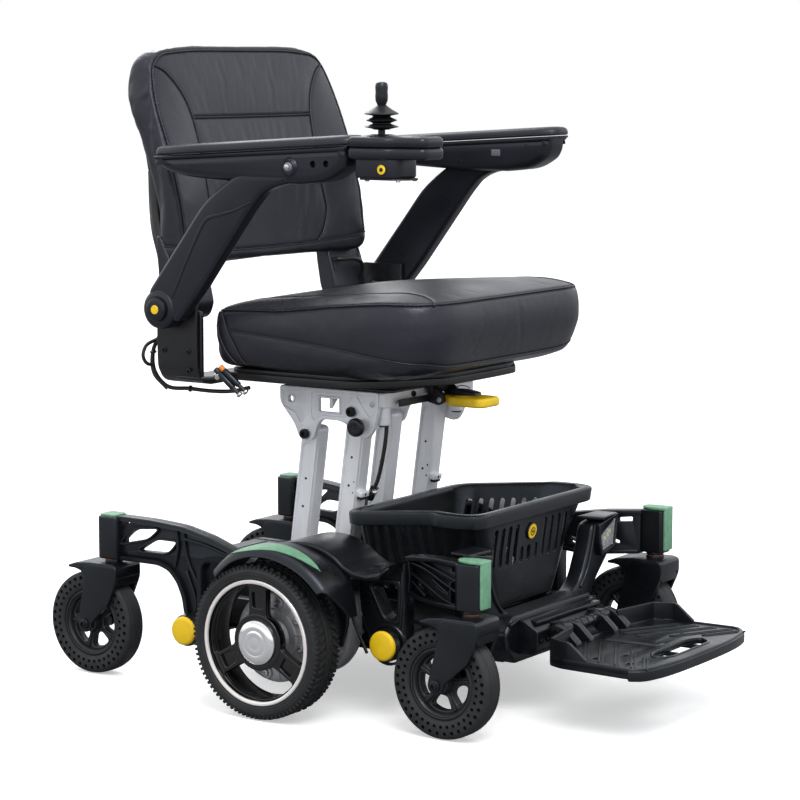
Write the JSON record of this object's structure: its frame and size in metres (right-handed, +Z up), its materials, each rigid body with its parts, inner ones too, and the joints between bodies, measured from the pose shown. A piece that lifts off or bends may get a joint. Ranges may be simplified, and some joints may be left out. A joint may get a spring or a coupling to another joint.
{
  "type": "power wheelchair",
  "caption": "Compact power wheelchair with padded seat and backrest, flip-up armrests, a joystick, a parallelogram seat lift, driven wheels, swivel casters and a folding footplate.",
  "frame": {"origin": "floor level, under the middle of the chair's bounding box", "axes": "+Z up, +Y towards the chair's back, so the chair faces -Y, and +X towards the seated person's left; the joystick is on -X"},
  "size_m": [0.665, 0.9838, 0.936],
  "materials": {
    "frame_coat": "matte",
    "body_plastic": "satin",
    "lift_alloy": "satin",
    "motor_casting": "satin",
    "tyre_rubber": "matte",
    "rim_gloss": "gloss",
    "caster_rim": "satin",
    "hub_chrome": "polished",
    "green_reflector": "satin",
    "yellow_plastic": "satin",
    "upholstery": "satin",
    "pad_vinyl": "satin",
    "lamp_lens": "gloss",
    "grey_plastic": "satin",
    "cable_sheath": "satin"
  },
  "bodies": {
    "chassis": {"main_frame": "frame_coat", "battery_box": "body_plastic", "front_cradle": "body_plastic", "drive_motor_r": "motor_casting", "side_shell_r": "body_plastic", "front_arm_r": "body_plastic", "front_cap_r": "green_reflector", "rear_arm_r": "body_plastic", "disc_front_r": "yellow_plastic", "disc_rear_r": "yellow_plastic", "headlight_r": "lamp_lens", "drive_motor_l": "motor_casting", "side_shell_l": "body_plastic", "front_arm_l": "body_plastic", "front_cap_l": "green_reflector", "rear_arm_l": "body_plastic", "disc_front_l": "yellow_plastic", "disc_rear_l": "yellow_plastic", "headlight_l": "lamp_lens"},
    "basket_lift": {"basket": "body_plastic"},
    "drive_wheel_r": {"drive_tyre_r": "tyre_rubber", "drive_rim_r": "rim_gloss", "hub_cap_r": "hub_chrome"},
    "drive_wheel_l": {"drive_tyre_l": "tyre_rubber", "drive_rim_l": "rim_gloss", "hub_cap_l": "hub_chrome"},
    "swivel_fr": {"fork_fr": "body_plastic"},
    "caster_fr": {"caster_tyre_fr": "tyre_rubber", "caster_rim_fr": "caster_rim"},
    "swivel_fl": {"fork_fl": "body_plastic"},
    "caster_fl": {"caster_tyre_fl": "tyre_rubber", "caster_rim_fl": "caster_rim"},
    "swivel_rr": {"fork_rr": "body_plastic"},
    "caster_rr": {"caster_tyre_rr": "tyre_rubber", "caster_rim_rr": "caster_rim"},
    "swivel_rl": {"fork_rl": "body_plastic"},
    "caster_rl": {"caster_tyre_rl": "tyre_rubber", "caster_rim_rl": "caster_rim"},
    "footplate_flap": {"footplate": "body_plastic"},
    "rear_link_pair": {"rear_links": "lift_alloy"},
    "front_link_pair": {"front_links": "lift_alloy", "lift_harness": "cable_sheath"},
    "seat": {"lift_head": "lift_alloy", "seat_frame": "frame_coat", "seat_cushion": "upholstery", "seat_loom": "cable_sheath"},
    "plunger": {"lift_plunger": "body_plastic"},
    "lever": {"release_lever": "yellow_plastic"},
    "backrest": {"back_frame": "frame_coat", "back_cushion": "upholstery"},
    "arm_r": {"armrest_r": "body_plastic", "arm_pad_r": "pad_vinyl", "controller": "body_plastic"},
    "arm_l": {"armrest_l": "body_plastic", "arm_pad_l": "pad_vinyl"},
    "button_r": {"arm_button_r": "grey_plastic"},
    "button_l": {"arm_button_l": "grey_plastic"},
    "gimbal": {"joystick_gimbal": "frame_coat"},
    "stick": {"joystick_knob": "body_plastic"}
  },
  "joints": [
    {"name": "drive_spin_r", "type": "hinge", "parent": "chassis", "child": "drive_wheel_r", "pos_m": [-0.302, 0.038, 0.11], "axis": [1, 0, 0], "continuous": true},
    {"name": "drive_spin_l", "type": "hinge", "parent": "chassis", "child": "drive_wheel_l", "pos_m": [0.302, 0.038, 0.11], "axis": [1, 0, 0], "continuous": true},
    {"name": "swivel_turn_fr", "type": "hinge", "parent": "chassis", "child": "swivel_fr", "pos_m": [-0.2558, -0.2723, 0.18], "axis": [0, 0, 1], "continuous": true},
    {"name": "caster_spin_fr", "type": "hinge", "parent": "swivel_fr", "child": "caster_fr", "pos_m": [-0.2558, -0.2323, 0.0773], "axis": [1, 0, 0], "continuous": true},
    {"name": "swivel_turn_fl", "type": "hinge", "parent": "chassis", "child": "swivel_fl", "pos_m": [0.2558, -0.2723, 0.18], "axis": [0, 0, 1], "continuous": true},
    {"name": "caster_spin_fl", "type": "hinge", "parent": "swivel_fl", "child": "caster_fl", "pos_m": [0.2558, -0.2323, 0.0773], "axis": [1, 0, 0], "continuous": true},
    {"name": "swivel_turn_rr", "type": "hinge", "parent": "chassis", "child": "swivel_rr", "pos_m": [-0.222, 0.3795, 0.18], "axis": [0, 0, 1], "continuous": true},
    {"name": "caster_spin_rr", "type": "hinge", "parent": "swivel_rr", "child": "caster_rr", "pos_m": [-0.222, 0.4145, 0.0773], "axis": [1, 0, 0], "continuous": true},
    {"name": "swivel_turn_rl", "type": "hinge", "parent": "chassis", "child": "swivel_rl", "pos_m": [0.222, 0.3795, 0.18], "axis": [0, 0, 1], "continuous": true},
    {"name": "caster_spin_rl", "type": "hinge", "parent": "swivel_rl", "child": "caster_rl", "pos_m": [0.222, 0.4145, 0.0773], "axis": [1, 0, 0], "continuous": true},
    {"name": "basket_out", "type": "slide", "parent": "chassis", "child": "basket_lift", "axis": [0, -0.35, 0.9367], "range_m": [0, 0.12]},
    {"name": "footplate_fold", "type": "hinge", "parent": "chassis", "child": "footplate_flap", "pos_m": [0, -0.298, 0.121], "axis": [-1, 0, 0], "range_deg": [0, 85]},
    {"name": "seat_lift", "type": "hinge", "parent": "chassis", "child": "rear_link_pair", "pos_m": [0, 0.13108, 0.14106], "axis": [-1, 0, 0], "range_deg": [0, 40]},
    {"name": "front_link_turn", "type": "hinge", "parent": "chassis", "child": "front_link_pair", "pos_m": [0, 0.04908, 0.17906], "axis": [-1, 0, 0], "range_deg": [0, 40]},
    {"name": "seat_level", "type": "hinge", "parent": "rear_link_pair", "child": "seat", "pos_m": [0, 0.1, 0.374], "axis": [-1, 0, 0], "range_deg": [-40, 0]},
    {"name": "plunger_pull", "type": "slide", "parent": "seat", "child": "plunger", "axis": [-1, 0, 0], "range_m": [0, 0.006], "stiffness_N_per_m": 300, "springref_m": -0.002},
    {"name": "lever_lift", "type": "hinge", "parent": "seat", "child": "lever", "pos_m": [0.01, -0.062, 0.4235], "axis": [-1, 0, 0], "range_deg": [0, 20], "stiffness_Nm_per_rad": 0.2, "springref_deg": -11.46},
    {"name": "back_fold", "type": "hinge", "parent": "seat", "child": "backrest", "pos_m": [0, 0.25, 0.545], "axis": [1, 0, 0], "range_deg": [0, 60]},
    {"name": "arm_flip_r", "type": "hinge", "parent": "seat", "child": "arm_r", "pos_m": [-0.279, 0.233, 0.561], "axis": [-1, 0, 0], "range_deg": [0, 95]},
    {"name": "button_push_r", "type": "slide", "parent": "arm_r", "child": "button_r", "axis": [1, 0, 0], "range_m": [0, 0.004], "stiffness_N_per_m": 300, "springref_m": -0.002},
    {"name": "arm_flip_l", "type": "hinge", "parent": "seat", "child": "arm_l", "pos_m": [0.279, 0.233, 0.561], "axis": [-1, 0, 0], "range_deg": [0, 95]},
    {"name": "button_push_l", "type": "slide", "parent": "arm_l", "child": "button_l", "axis": [-1, 0, 0], "range_m": [0, 0.004], "stiffness_N_per_m": 300, "springref_m": -0.002},
    {"name": "stick_fore_aft", "type": "hinge", "parent": "arm_r", "child": "gimbal", "pos_m": [-0.255, -0.126, 0.795], "axis": [1, 0, 0], "range_deg": [-15, 15], "stiffness_Nm_per_rad": 0.25},
    {"name": "stick_side", "type": "hinge", "parent": "gimbal", "child": "stick", "pos_m": [-0.255, -0.126, 0.795], "axis": [0, 1, 0], "range_deg": [-15, 15], "stiffness_Nm_per_rad": 0.25}
  ],
  "couplings": [
    {"joint": "front_link_turn", "follows": "seat_lift", "ratio": 1},
    {"joint": "seat_level", "follows": "seat_lift", "ratio": -1}
  ]
}
